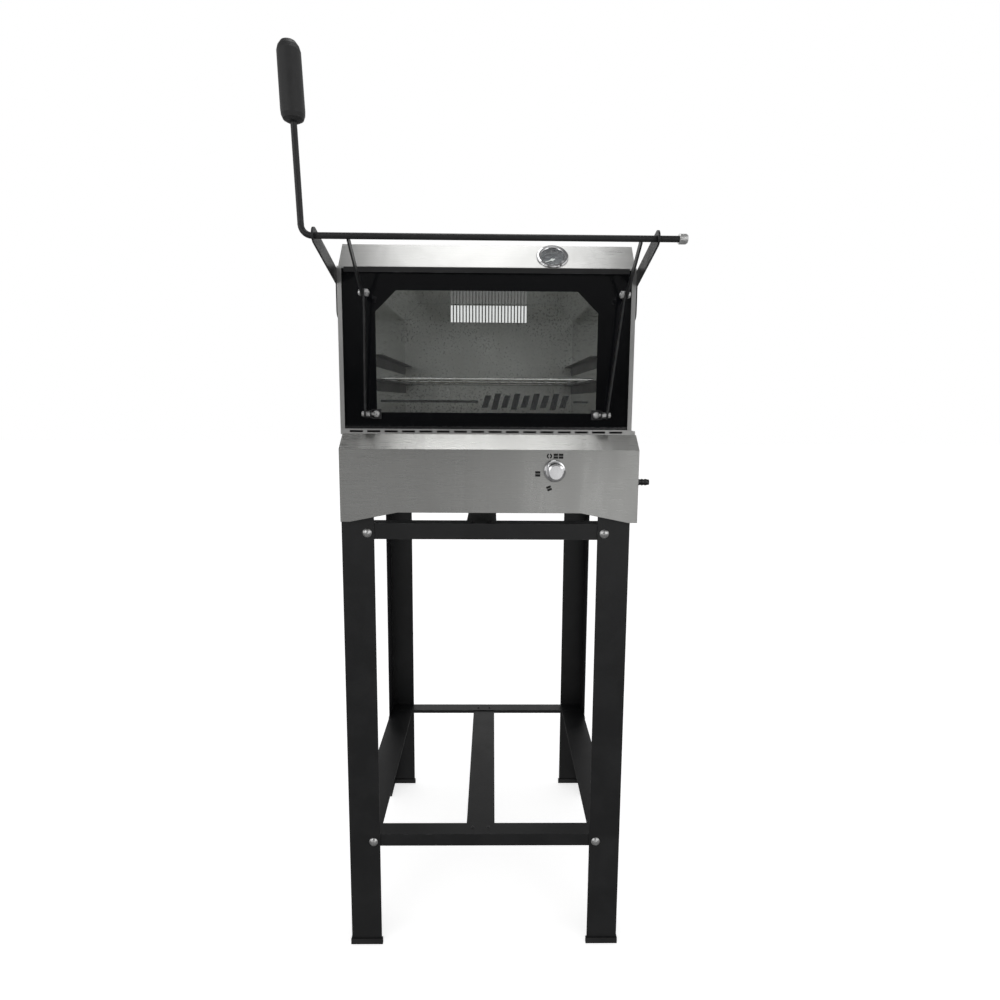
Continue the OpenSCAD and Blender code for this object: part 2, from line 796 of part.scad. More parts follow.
// A bolt carries each connecting rod's lower eye, and a nut holds it in the bracket's tab.
module lower_pivots() {
    tab = tab_x + 9;
    color("#b4b6b8") frame() both_sides() {
        rod_along_x(pin_r, tab_x + 4, rod_x + rod_t + 4, pivot_y, pivot_z);
        rod_along_x(5.2, rod_x + rod_t + 1, rod_x + rod_t + 4.8, pivot_y, pivot_z);
        translate([tab, pivot_y, pivot_z]) rotate([0, 90, 0]) difference() {
            cylinder(r = 5.6, h = rod_x - gap - tab, $fn = 6);
            translate([0, 0, -1]) cylinder(r = pin_r + loose, h = 20);
        }
    }
}

/* ---- lift ---- */

// The rod leans sideways, because the cranks are shifted and the lower pivots aren't.
module connecting_rod(side) {
    low_x = side * (rod_x + rod_t / 2);
    top_x = lever_x + side * (crank_x - rod_gap - rod_t / 2);
    run = [top_x - low_x, top_pin[0] - low_pin[0], top_pin[1] - low_pin[1]];
    nut = top_x - side * (rod_t / 2 + 2.5);
    color("#141516") frame() {
        difference() {
            union() {
                rod_along_x(eye_r, low_x - rod_t / 2, low_x + rod_t / 2, low_pin[0], low_pin[1]);
                rod_along_x(eye_r, top_x - rod_t / 2, top_x + rod_t / 2, top_pin[0], top_pin[1]);
                translate([low_x, low_pin[0], low_pin[1]]) rotate([atan2(-run[1], run[2]), 0, 0])
                    rotate([0, atan2(run[0], norm([run[1], run[2]])), 0])
                        translate([-rod_t / 2, -rod_w / 2, 0]) cube([rod_t, rod_w, norm(run)]);
            }
            rod_along_x(pin_r + fit, low_x - rod_t, low_x + rod_t, low_pin[0], low_pin[1]);
        }
        rod_along_x(5.6, nut - 3, nut + 3, top_pin[0], top_pin[1]);
    }
}

// A flat bar welded to the shaft at one end, with a round eye at the other.
module crank() {
    run = top_pin - [shaft_y, shaft_z];
    along_x(crank_x, crank_x + rod_t) {
        translate([shaft_y, shaft_z]) rotate(atan2(run[1], run[0])) translate([3, -rod_w / 2])
            square([norm(run) - 3, rod_w]);
        translate(top_pin) circle(r = eye_r);
    }
    rod_along_x(5.2, crank_x + rod_t, crank_x + rod_t + 3.5, top_pin[0], top_pin[1]);
}

// The shaft, its upright rod and the two welded cranks are one piece.
module lever_shaft() {
    color("#151618") frame() {
        rod_along_x(rod_d / 2, bend_x, shaft_end, shaft_y, shaft_z);
        translate([bend_x, shaft_y, shaft_z + bend_r]) elbow(180 + lean, 90 - lean, bend_r, rod_d);
        translate([rod_foot[0], shaft_y, rod_foot[1]]) rotate([0, -lean, 0])
            cylinder(d = rod_d, h = grip_start + grip_len - 30);
        translate([lever_x, 0, 0]) both_sides() crank();
    }
}

module lever_grip() {
    r = grip_d / 2;
    color("#1a1a1c") frame() translate([rod_foot[0], shaft_y, rod_foot[1]]) rotate([0, -lean, 0])
        translate([0, 0, grip_start]) difference() {
            rotate_extrude() polygon([[0, 0], [r - 8, 0], [r - 3, 3], [r - 0.6, 9], [r, 16],
                [r - 0.5, grip_len - 17], [r - 2.5, grip_len - 10], [r - 7, grip_len - 3.5],
                [4, grip_len], [0, grip_len]]);
            translate([0, 0, -1]) cylinder(d = rod_d, h = grip_len - 29);
        }
}

module shaft_cap() {
    long = cap_tip - cap_from;
    color("#c8c9ca") frame() translate([0, shaft_y, shaft_z]) rotate([0, 90, 0]) difference() {
        translate([0, 0, cap_from]) rotate_extrude() polygon([[0, 0], [7.6, 0], [8, 1],
            [8, long - 3], [6.5, long - 0.6], [5, long], [0, long]]);
        translate([0, 0, cap_from - 1]) cylinder(d = rod_d, h = shaft_end - cap_from + 1);
    }
}

module arm_outline() {
    foot_z = 1258;
    plate_y = 38;
    difference() {
        union() {
            translate([shaft_y, shaft_z]) circle(r = arm_w / 2);
            translate([shaft_y, shaft_z]) rotate(-arm_drop) translate([0, -arm_w / 2])
                square([150, arm_w]);
            translate([plate_y, foot_z]) square([28, 64]);
            translate([plate_y + 14, foot_z]) circle(r = 14);
        }
        translate([shaft_y, shaft_z]) circle(d = rod_d + 2 * fit);
        for (z = arm_bolts_z) translate([arm_bolt_y, z]) circle(r = pin_r);
    }
}

module side_arms() {
    color("#17181a") frame() both_sides() along_x(body_w / 2, body_w / 2 + 3) arm_outline();
}

module arm_bolts() {
    outer = body_w / 2 + 3;
    color("#1c1d1f") frame() both_sides() for (z = arm_bolts_z)
        translate([outer, arm_bolt_y, z]) rotate([0, 90, 0]) {
            dome(5.6, 3);
            translate([0, 0, -10]) cylinder(r = pin_r, h = 10);
            translate([0, 0, -3 - sheet - 4.5]) difference() {
                cylinder(r = 5.6, h = 4.5, $fn = 6);
                translate([0, 0, -1]) cylinder(r = pin_r + loose, h = 10);
            }
        }
}

leg(-1, 0);  // leg_front_left
leg(1, 0);  // leg_front_right
leg(-1, 1);  // leg_rear_left
leg(1, 1);  // leg_rear_right
foot_caps();
upper_cross_rail(0);  // upper_front_rail
upper_cross_rail(1);  // upper_rear_rail
upper_side_rail(-1);  // upper_left_rail
upper_side_rail(1);  // upper_right_rail
lower_cross_rail(0);  // lower_front_rail
lower_cross_rail(1);  // lower_rear_rail
lower_side_rail(-1);  // lower_left_rail
lower_side_rail(1);  // lower_right_rail
strap(upper_rail_z);  // upper_strap
strap(lower_rail_z);  // lower_strap
strap_screws();
frame_bolts();
frame_nuts();
control_panel();
vent_strip();
base_shell();
base_floor();
base_deck();
gas_inlet();
supply_pipe();
gas_valve();
valve_stem();
control_knob();
injector();
burner();
burner_brackets();
side_panel(-1);  // left_side_panel
side_panel(1);  // right_side_panel
hood();
back_panel();
front_frame();
chamber_lining();
chamber_back();
flue_sleeve();
refractory_stone();
insulation();
rack_rails();
wire_rack();
thermometer_case();
thermometer_dial();
thermometer_needle();
thermometer_lens();
door_glass();
door_print();
door_top_channel();
corner_brackets();
clamp_screws();
lower_pivots();
connecting_rod(-1);  // connecting_rod_left
connecting_rod(1);  // connecting_rod_right
lever_shaft();
lever_grip();
shaft_cap();
side_arms();
arm_bolts();
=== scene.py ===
"""Looks of the gas oven with a lifting glass door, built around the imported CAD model."""

import json
import math

import bmesh
import bpy
from mathutils import Matrix, Vector


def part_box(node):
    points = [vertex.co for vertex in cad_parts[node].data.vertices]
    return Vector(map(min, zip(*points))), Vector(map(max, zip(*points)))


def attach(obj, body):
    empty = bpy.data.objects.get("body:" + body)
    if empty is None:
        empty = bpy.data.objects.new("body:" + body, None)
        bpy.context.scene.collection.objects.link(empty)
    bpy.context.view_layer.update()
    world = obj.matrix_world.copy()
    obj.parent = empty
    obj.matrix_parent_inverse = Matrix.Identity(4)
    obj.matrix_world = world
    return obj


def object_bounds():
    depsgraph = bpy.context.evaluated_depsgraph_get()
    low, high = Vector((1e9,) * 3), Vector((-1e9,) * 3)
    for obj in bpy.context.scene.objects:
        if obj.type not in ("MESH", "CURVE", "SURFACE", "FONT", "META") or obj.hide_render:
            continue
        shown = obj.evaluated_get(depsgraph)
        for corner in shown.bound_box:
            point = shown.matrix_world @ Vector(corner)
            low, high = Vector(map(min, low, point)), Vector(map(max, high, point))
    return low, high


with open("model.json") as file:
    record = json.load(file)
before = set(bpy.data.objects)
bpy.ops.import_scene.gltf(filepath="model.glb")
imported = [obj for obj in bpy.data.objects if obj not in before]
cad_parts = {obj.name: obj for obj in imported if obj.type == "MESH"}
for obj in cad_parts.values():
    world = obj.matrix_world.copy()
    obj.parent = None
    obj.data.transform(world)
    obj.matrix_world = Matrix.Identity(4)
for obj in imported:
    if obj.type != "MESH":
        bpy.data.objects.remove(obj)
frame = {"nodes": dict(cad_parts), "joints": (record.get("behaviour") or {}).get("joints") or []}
cad_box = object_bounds()
nodes = frame["nodes"]
MM = 0.001

# ---------------------------------------------------------------- camera

CAMERA_PLACE = (0.0119, -1.29755, 1.0976)
PITCH, YAW, ROLL = 0.1235, 0.0123, -0.0067
SENSOR_MM, LENS_MM, SHIFT_Y = 36, 21.66, -0.0251


def make_camera():
    ahead = Vector((math.sin(YAW) * math.cos(PITCH), math.cos(YAW) * math.cos(PITCH), -math.sin(PITCH)))
    right = Vector((math.cos(YAW), -math.sin(YAW), 0))
    down = ahead.cross(right)
    across = math.cos(ROLL) * right + math.sin(ROLL) * down
    down = -math.sin(ROLL) * right + math.cos(ROLL) * down
    data = bpy.data.cameras.new("camera")
    data.sensor_width = SENSOR_MM
    data.lens = LENS_MM
    data.shift_y = SHIFT_Y
    data.clip_start, data.clip_end = 0.02, 100
    camera = bpy.data.objects.new("camera", data)
    turn = Matrix((across, -down, -ahead)).transposed().to_4x4()
    camera.matrix_world = Matrix.Translation(CAMERA_PLACE) @ turn
    bpy.context.scene.collection.objects.link(camera)
    bpy.context.scene.camera = camera


make_camera()

# ---------------------------------------------------------------- node helpers


class Net:
    """A material's node tree with short calls for the nodes used here."""

    def __init__(self, name):
        self.material = bpy.data.materials.new(name)
        self.material.use_nodes = True
        self.tree = self.material.node_tree
        self.tree.nodes.clear()
        self.output = self.add("ShaderNodeOutputMaterial")
        self.shader = self.add("ShaderNodeBsdfPrincipled")
        self.link(self.shader.outputs[0], self.output.inputs["Surface"])
        self.place = self.add("ShaderNodeTexCoord").outputs["Object"]

    def add(self, kind, **settings):
        node = self.tree.nodes.new(kind)
        for key, value in settings.items():
            setattr(node, key, value)
        return node

    def link(self, out, into):
        self.tree.links.new(out, into)

    def stretched(self, scale):
        node = self.add("ShaderNodeMapping")
        node.inputs["Scale"].default_value = scale
        self.link(self.place, node.inputs["Vector"])
        return node.outputs[0]

    def noise(self, scale, detail=3.0, rough=0.5, stretch=None, warp=0.0):
        node = self.add("ShaderNodeTexNoise")
        node.inputs["Scale"].default_value = scale
        node.inputs["Detail"].default_value = detail
        node.inputs["Roughness"].default_value = rough
        node.inputs["Distortion"].default_value = warp
        self.link(self.stretched(stretch) if stretch else self.place, node.inputs["Vector"])
        return node.outputs["Fac"]

    def cells(self, scale, stretch=None):
        node = self.add("ShaderNodeTexVoronoi")
        node.inputs["Scale"].default_value = scale
        self.link(self.stretched(stretch) if stretch else self.place, node.inputs["Vector"])
        return node.outputs["Distance"]

    def spread(self, value, low, high, to_low=0.0, to_high=1.0):
        node = self.add("ShaderNodeMapRange")
        for key, number in (("From Min", low), ("From Max", high), ("To Min", to_low), ("To Max", to_high)):
            node.inputs[key].default_value = number
        self.link(value, node.inputs["Value"])
        return node.outputs[0]

    def maths(self, kind, a, b):
        node = self.add("ShaderNodeMath", operation=kind)
        for socket, value in zip(node.inputs, (a, b)):
            if isinstance(value, (int, float)):
                socket.default_value = value
            else:
                self.link(value, socket)
        return node.outputs[0]

    def mix(self, share, a, b):
        node = self.add("ShaderNodeMix", data_type="RGBA")
        self.link(share, node.inputs["Factor"])
        colours = [s for s in node.inputs if s.type == "RGBA"]
        for socket, value in zip(colours, (a, b)):
            if isinstance(value, tuple):
                socket.default_value = (*value, 1)
            else:
                self.link(value, socket)
        return [s for s in node.outputs if s.type == "RGBA"][0]

    def gloss(self, fine, cloud, rough, fine_range=(0.3, 0.7), cloud_range=(0.4, 0.7), haze=0.07):
        """Roughness from rough[0] to rough[1] over a fine pattern, with up to haze more in the clouds."""
        grain = self.spread(fine, *fine_range, *rough)
        return self.maths("ADD", grain, self.spread(cloud, *cloud_range, 0, haze))

    def bump(self, height, strength, distance, under=None):
        node = self.add("ShaderNodeBump")
        node.inputs["Strength"].default_value = strength
        node.inputs["Distance"].default_value = distance
        self.link(height, node.inputs["Height"])
        if under is not None:
            self.link(under, node.inputs["Normal"])
        return node.outputs[0]

    def edges(self, radius, sharpness=9.0):
        """1 on sharp edges and 0 on flat faces."""
        soft = self.add("ShaderNodeBevel", samples=4)
        soft.inputs["Radius"].default_value = radius
        flat = self.add("ShaderNodeNewGeometry").outputs["Normal"]
        dot = self.add("ShaderNodeVectorMath", operation="DOT_PRODUCT")
        self.link(soft.outputs[0], dot.inputs[0])
        self.link(flat, dot.inputs[1])
        away = self.maths("SUBTRACT", 1.0, dot.outputs["Value"])
        return self.spread(self.maths("MULTIPLY", away, sharpness), 0.0, 1.0)

    def swap_for(self, ray, shader):
        """Show another shader to one kind of ray."""
        both = self.add("ShaderNodeMixShader")
        self.link(self.add("ShaderNodeLightPath").outputs[ray], both.inputs["Fac"])
        self.link(self.shader.outputs[0], both.inputs[1])
        self.link(shader.outputs[0], both.inputs[2])
        self.link(both.outputs[0], self.output.inputs["Surface"])

    def set(self, **sockets):
        for name, value in sockets.items():
            socket = self.shader.inputs[name.replace("_", " ")]
            if hasattr(value, "is_output"):
                self.link(value, socket)
            elif isinstance(value, tuple):
                socket.default_value = (*value, 1)
            else:
                socket.default_value = value
        return self.material


# ---------------------------------------------------------------- materials


def brushed(name, light, dark, streak, rough=(0.2, 0.34), smudge=0.5, grain=(1, 1, 1)):
    """Brushed stainless sheet: fine streaks, cloudy smudges and a soft sheen."""
    net = Net(name)
    lines = net.noise(900, 3, 0.6, stretch=streak)
    cloud = net.noise(5.5, 4, 0.55, stretch=grain, warp=0.6)
    speck = net.noise(700, 2, 0.6)
    tone = net.mix(net.spread(lines, 0.3, 0.7), dark, light)
    dim = tuple(c * (1 - 0.3 * smudge) for c in light)
    tone = net.mix(net.spread(cloud, 0.42, 0.72, 0, 0.75), tone, dim)
    tone = net.mix(net.spread(speck, 0.62, 0.74, 0, 0.35), tone, tuple(c * 0.72 for c in dark))
    gloss = net.gloss(lines, cloud, rough, fine_range=(0.2, 0.8), cloud_range=(0.35, 0.7))
    normal = net.bump(lines, 0.10, 0.0004)
    normal = net.bump(cloud, 0.16, 0.004, normal)
    return net.set(Base_Color=tone, Metallic=1.0, Roughness=gloss, Normal=normal)


def lining_steel(name, light, dark, metal, rough):
    """Bright lining, clouded by heat and grease."""
    net = Net(name)
    cloud = net.noise(7, 4, 0.55, warp=0.8)
    mottle = net.noise(210, 3, 0.6)
    drips = net.noise(22, 3, 0.5, stretch=(1, 1, 0.12))
    tone = net.mix(net.spread(mottle, 0.3, 0.7), dark, light)
    tone = net.mix(net.spread(cloud, 0.42, 0.78, 0, 0.45), tone, tuple(c * 0.8 for c in dark))
    tone = net.mix(net.spread(drips, 0.58, 0.82, 0, 0.25), tone, (0.34, 0.32, 0.28))
    gloss = net.gloss(mottle, cloud, rough, haze=0.04)
    normal = net.bump(mottle, 0.03, 0.0003)
    normal = net.bump(cloud, 0.12, 0.003, normal)
    return net.set(Base_Color=tone, Metallic=metal, Roughness=gloss, Normal=normal)


def powder_coat(name, base, rough, wear_and_highlit_edges=True):
    """Black powder coat with orange peel, dust in the texture, and lighter edges that are partly rubbed wear
    and partly a painted highlight.
    """
    net = Net(name)
    peel = net.noise(520, 2, 0.5)
    dust = net.noise(14, 5, 0.62, warp=0.4)
    lint = net.noise(1500, 2, 0.6)
    tone = net.mix(net.spread(dust, 0.45, 0.8, 0, 0.6), base, tuple(c * 1.9 + 0.004 for c in base))
    tone = net.mix(net.spread(lint, 0.64, 0.74, 0, 0.5), tone, tuple(c * 2.6 + 0.01 for c in base))
    if wear_and_highlit_edges:
        # Lighter grey in patches on the sharp edges: partly rubbed wear, partly a painted edge highlight.
        edge_chips_and_highlight = net.maths("MULTIPLY", net.edges(0.0012), net.spread(net.noise(60, 4, 0.6), 0.45, 0.7))
        tone = net.mix(net.spread(edge_chips_and_highlight, 0.15, 0.9, 0, 0.55), tone, (0.14, 0.14, 0.145))
    gloss = net.gloss(peel, dust, rough, haze=0.1)
    normal = net.bump(peel, 0.22, 0.0005)
    return net.set(Base_Color=tone, Roughness=gloss, Normal=normal)


def moulded(name, base, rough, grain=1400):
    """Moulded plastic or rubber with a fine spark-eroded grain."""
    net = Net(name)
    fine = net.noise(grain, 2, 0.6)
    cloud = net.noise(30, 4, 0.6)
    tone = net.mix(net.spread(cloud, 0.4, 0.75, 0, 0.8), base, tuple(c * 1.7 + 0.004 for c in base))
    gloss = net.gloss(fine, cloud, rough, haze=0.12)
    return net.set(Base_Color=tone, Roughness=gloss, Normal=net.bump(fine, 0.3, 0.0004))


def plated(name, light, dark, rough, spots=160, dents=0.12):
    """Zinc or chrome plate with a faint mottle."""
    net = Net(name)
    mottle = net.noise(spots, 4, 0.6, warp=0.5)
    fine = net.noise(spots * 9, 2, 0.6)
    tone = net.mix(net.spread(mottle, 0.35, 0.68), dark, light)
    gloss = net.gloss(mottle, fine, rough, haze=0.06)
    return net.set(Base_Color=tone, Metallic=1.0, Roughness=gloss, Normal=net.bump(mottle, dents, 0.0006))


def mineral(name, light, dark, scale, depth, rough):
    """Fired stone, mineral wool or a cast surface: lumps, pits and specks."""
    net = Net(name)
    lumps = net.noise(scale, 6, 0.65, warp=0.4)
    pits = net.cells(scale * 3)
    tone = net.mix(net.spread(lumps, 0.3, 0.7), dark, light)
    tone = net.mix(net.spread(pits, 0.0, 0.22, 0.6, 0.0), tone, tuple(c * 0.55 for c in dark))
    normal = net.bump(lumps, 0.6, depth)
    normal = net.bump(pits, 0.3, depth * 0.5, normal)
    return net.set(Base_Color=tone, Roughness=net.spread(lumps, 0.3, 0.7, rough[0], rough[1]), Normal=normal)


def clear_glass(name, tint, bend):
    """Clear glass that lets lamps through, with faint smears and ripples."""
    net = Net(name)
    smear = net.noise(7, 5, 0.6, stretch=(1, 1, 0.5), warp=1.2)
    tone = net.mix(net.spread(smear, 0.4, 0.8), tint, tuple(c * 0.97 for c in tint))
    net.set(Base_Color=tone, Roughness=0.0, Normal=net.bump(smear, 0.02, 0.0005),
            Transmission_Weight=1.0, IOR=bend)
    lamp = net.add("ShaderNodeBsdfTransparent")
    lamp.inputs["Color"].default_value = (0.9, 0.92, 0.91, 1)
    net.swap_for("Is Shadow Ray", lamp)
    return net.material


def printed(name, base, rough=(0.1, 0.22), coat=0.0, shine=0.5):
    """Fired-on or screened ink: even, with pinholes and a slight ripple."""
    net = Net(name)
    ripple = net.noise(35, 3, 0.5)
    holes = net.noise(1900, 2, 0.6)
    tone = net.mix(net.spread(holes, 0.6, 0.74, 0, 0.3), base, tuple(c * 1.6 + 0.003 for c in base))
    tone = net.mix(net.spread(ripple, 0.4, 0.75, 0, 0.5), tone, tuple(c * 1.35 for c in base))
    return net.set(Base_Color=tone, Roughness=net.spread(ripple, 0.3, 0.7, rough[0], rough[1]),
                   Normal=net.bump(ripple, 0.05, 0.001), Coat_Weight=coat, Specular_IOR_Level=shine)


STREAK_X = (0.012, 1, 1)
STREAK_Y = (1, 0.012, 1)
front_steel = brushed("front_steel", (0.5, 0.5, 0.485), (0.42, 0.42, 0.41), STREAK_X, grain=(2.6, 1, 0.6))
hood_steel = brushed("hood_steel", (0.47, 0.47, 0.46), (0.385, 0.385, 0.38), STREAK_X, (0.22, 0.36),
                     grain=(1.6, 1, 1))
side_steel = brushed("side_steel", (0.52, 0.52, 0.51), (0.43, 0.43, 0.425), STREAK_Y, (0.24, 0.38))
strip_steel = brushed("strip_steel", (0.56, 0.56, 0.55), (0.46, 0.46, 0.45), STREAK_X, (0.25, 0.4))
mill_steel = brushed("mill_steel", (0.47, 0.48, 0.48), (0.38, 0.39, 0.395), STREAK_X, (0.34, 0.5), smudge=0.8)
black_coat = powder_coat("black_coat", (0.005, 0.0052, 0.0058), (0.34, 0.46))
black_rod = powder_coat("black_rod", (0.007, 0.0072, 0.0078), (0.34, 0.46))
dark_screw = powder_coat("dark_screw", (0.016, 0.016, 0.017), (0.3, 0.45), wear_and_highlit_edges=False)
# The rack rails: a very dark coat, a little lighter than the stand's black.
dark_rack_rail = powder_coat("dark_rack_rail", (0.022, 0.0215, 0.02), (0.38, 0.55))
foot_plastic = moulded("foot_plastic", (0.008, 0.008, 0.0085), (0.45, 0.62))
grip_rubber = moulded("grip_rubber", (0.0095, 0.0096, 0.01), (0.42, 0.58), grain=1100)
zinc = plated("zinc", (0.84, 0.84, 0.83), (0.55, 0.55, 0.55), (0.2, 0.4))
bright = plated("bright_chrome", (0.82, 0.82, 0.83), (0.66, 0.66, 0.67), (0.07, 0.16), spots=60, dents=0.05)
rack_wire = plated("rack_wire", (0.84, 0.84, 0.83), (0.66, 0.65, 0.63), (0.12, 0.22), spots=60, dents=0.03)
cap_plate = plated("cap_plate", (0.86, 0.86, 0.85), (0.68, 0.68, 0.67), (0.25, 0.42), spots=200)
brass = plated("machined_brass", (0.72, 0.55, 0.29), (0.5, 0.36, 0.17), (0.22, 0.4), spots=130)
dark_fitting = plated("dark_fitting", (0.1, 0.1, 0.1), (0.03, 0.03, 0.031), (0.25, 0.45), spots=150)
pipe_steel = plated("pipe_steel", (0.5, 0.51, 0.52), (0.35, 0.36, 0.37), (0.25, 0.45), spots=70)
cast_iron = mineral("cast_iron", (0.11, 0.105, 0.1), (0.045, 0.043, 0.042), 180, 0.0006, (0.55, 0.8))
fired_stone = mineral("fired_stone", (0.62, 0.55, 0.45), (0.42, 0.36, 0.28), 60, 0.0008, (0.75, 0.95))
wool = mineral("mineral_wool", (0.86, 0.84, 0.78), (0.66, 0.62, 0.54), 240, 0.002, (0.9, 1.0))
lining = lining_steel("lining_steel", (0.62, 0.62, 0.6), (0.52, 0.52, 0.505), 0.85, (0.03, 0.08))
back_wall = lining_steel("back_wall_steel", (0.6, 0.6, 0.58), (0.47, 0.47, 0.455), 0.4, (0.24, 0.34))
door_clear = clear_glass("door_clear", (0.95, 0.97, 0.96), 1.45)
dial_clear = clear_glass("dial_clear", (0.96, 0.975, 0.98), 1.2)
door_ink = printed("door_ink", (0.006, 0.006, 0.0075), (0.08, 0.16), coat=0.4)
line_ink = printed("line_ink", (0.004, 0.004, 0.0045), (0.06, 0.12), shine=0.2)
panel_ink = printed("panel_ink", (0.005, 0.005, 0.005), (0.2, 0.35), shine=0.3)
dial_face = printed("dial_face", (0.045, 0.053, 0.062), (0.3, 0.45), shine=0.2)
dial_ink = printed("dial_ink", (0.36, 0.37, 0.37), (0.35, 0.5))
needle_paint = printed("needle_paint", (0.82, 0.83, 0.8), (0.3, 0.45))

STAND = [f"leg_{end}_{side}" for end in ("front", "rear") for side in ("left", "right")]
STAND += [f"{level}_{side}_rail" for level in ("upper", "lower")
          for side in ("front", "rear", "left", "right")]
STAND += ["upper_strap", "lower_strap"]

NODE_MATERIALS = [
    (black_coat, STAND + ["side_arms", "door_top_channel", "corner_brackets"]),
    (black_rod, ["connecting_rod_left", "connecting_rod_right", "lever_shaft"]),
    (foot_plastic, ["foot_caps"]),
    (dark_screw, ["strap_screws", "arm_bolts"]),
    (zinc, ["frame_bolts", "frame_nuts", "clamp_screws", "lower_pivots"]),
    (front_steel, ["control_panel"]),
    (strip_steel, ["vent_strip"]),
    (side_steel, ["left_side_panel", "right_side_panel", "base_shell"]),
    (hood_steel, ["hood"]),
    (mill_steel, ["base_floor", "base_deck", "back_panel", "front_frame", "flue_sleeve", "burner_brackets"]),
    (lining, ["chamber_lining"]),
    (back_wall, ["chamber_back"]),
    (dark_fitting, ["gas_inlet"]),
    (brass, ["gas_valve", "injector", "valve_stem"]),
    (pipe_steel, ["supply_pipe"]),
    (cast_iron, ["burner"]),
    (fired_stone, ["refractory_stone"]),
    (wool, ["insulation"]),
    (dark_rack_rail, ["rack_rails"]),
    (rack_wire, ["wire_rack"]),
    (bright, ["control_knob", "thermometer_case"]),
    (cap_plate, ["shaft_cap"]),
    (dial_face, ["thermometer_dial"]),
    (needle_paint, ["thermometer_needle"]),
    (dial_clear, ["thermometer_lens"]),
    (door_clear, ["door_glass"]),
    (door_ink, ["door_print"]),
    (grip_rubber, ["lever_grip"]),
]
for material, names in NODE_MATERIALS:
    for name in names:
        mesh = nodes[name].data
        mesh.materials.clear()
        mesh.materials.append(material)

# ---------------------------------------------------------------- edges of the CAD nodes

# Folded sheet catches the light on narrow bevels. Its faces stay flat right up to them.
EDGES_MM = {
    1.0: ["control_panel", "hood"],
    0.4: STAND + ["side_arms", "left_side_panel", "right_side_panel", "base_shell", "back_panel",
                  "corner_brackets", "door_glass", "front_frame", "chamber_lining", "foot_caps",
                  "rack_rails", "refractory_stone", "vent_strip"],
}
SAME_POINT = 1e-5
SAME_PLANE_DEG, BEND_DEG = 0.5, 30


def flat_faces():
    """A node group that clears stored normals and shades every face flat."""
    group = bpy.data.node_groups.new("flat_faces", "GeometryNodeTree")
    for way in ("INPUT", "OUTPUT"):
        group.interface.new_socket("Geometry", in_out=way, socket_type="NodeSocketGeometry")
    start, end, flat = (group.nodes.new(kind) for kind in (
        "NodeGroupInput", "NodeGroupOutput", "GeometryNodeSetMeshNormal"))
    flat.mode = "SHARPNESS"
    flat.inputs["Remove Custom"].default_value = True
    flat.inputs["Face Sharpness"].default_value = True
    group.links.new(start.outputs[0], flat.inputs["Mesh"])
    group.links.new(flat.outputs[0], end.inputs[0])
    return group


def soften_edges(obj, width):
    """Join the triangles of each plane, then bevel the bends between the planes."""
    weld = obj.modifiers.new("weld", "WELD")
    weld.merge_threshold = SAME_POINT
    merged = obj.modifiers.new("merge", "DECIMATE")
    merged.decimate_type = "DISSOLVE"
    merged.angle_limit = math.radians(SAME_PLANE_DEG)
    bevel = obj.modifiers.new("edge", "BEVEL")
    bevel.width = width
    bevel.segments = 2
    bevel.limit_method = "ANGLE"
    bevel.angle_limit = math.radians(BEND_DEG)
    obj.modifiers.new("flat", "NODES").node_group = flat_group


flat_group = flat_faces()
for width_mm, names in EDGES_MM.items():
    for name in names:
        soften_edges(nodes[name], width_mm * MM)

# ---------------------------------------------------------------- tools for small pieces


def piece(name, mesh_data, material, body):
    """A new piece that rides on a body and takes its finish from a slot."""
    obj = bpy.data.objects.new(name, mesh_data)
    bpy.context.scene.collection.objects.link(obj)
    mesh_data.materials.append(material)
    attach(obj, body)
    return obj


def prism(bm, outline, place, thick):
    """A thin flat shape: outline points (u, v), put in space by place(u, v, w)."""
    low = [bm.verts.new(place(u, v, 0.0)) for u, v in outline]
    high = [bm.verts.new(place(u, v, thick)) for u, v in outline]
    count = len(outline)
    bm.faces.new(low[::-1])
    bm.faces.new(high)
    for i in range(count):
        bm.faces.new((low[i], low[(i + 1) % count], high[(i + 1) % count], high[i]))


def finish_mesh(bm, name):
    """A mesh from bm, with its normals outwards. It frees bm."""
    bmesh.ops.recalc_face_normals(bm, faces=bm.faces)
    data = bpy.data.meshes.new(name)
    bm.to_mesh(data)
    bm.free()
    return data


def arc_band(r_in, r_out, start, end, steps=14):
    """The outline of a band between two radii, from a start angle to an end angle in degrees."""
    angles = [math.radians(start + (end - start) * i / steps) for i in range(steps + 1)]
    return ([(r_out * math.cos(a), r_out * math.sin(a)) for a in angles]
            + [(r_in * math.cos(a), r_in * math.sin(a)) for a in reversed(angles)])


def block(u0, v0, u1, v1):
    """The outline of a rectangle between two corners."""
    return [(u0, v0), (u1, v0), (u1, v1), (u0, v1)]


def moved(outline, u, v, turn=0.0):
    """An outline turned by an angle in degrees, then moved by (u, v)."""
    c, s = math.cos(math.radians(turn)), math.sin(math.radians(turn))
    return [(u + c * a - s * b, v + s * a + c * b) for a, b in outline]


def turned(bm, profile_mm, sides, place):
    """A turned or many-sided solid: profile points (along, radius), put in space by place(u, v, w)."""
    angles = [2 * math.pi * i / sides for i in range(sides)]
    rings = []
    for along_mm, radius_mm in profile_mm:
        along, radius = along_mm * MM, radius_mm * MM
        rings.append([bm.verts.new(place(radius * math.cos(a), radius * math.sin(a), along)) for a in angles])
    bm.faces.new(rings[0][::-1])
    bm.faces.new(rings[-1])
    for near, far in zip(rings, rings[1:]):
        for i in range(sides):
            j = (i + 1) % sides
            bm.faces.new((near[i], near[j], far[j], far[i]))


# ---------------------------------------------------------------- printed marks

INK = 0.12 * MM
MARKS_TOP = 27
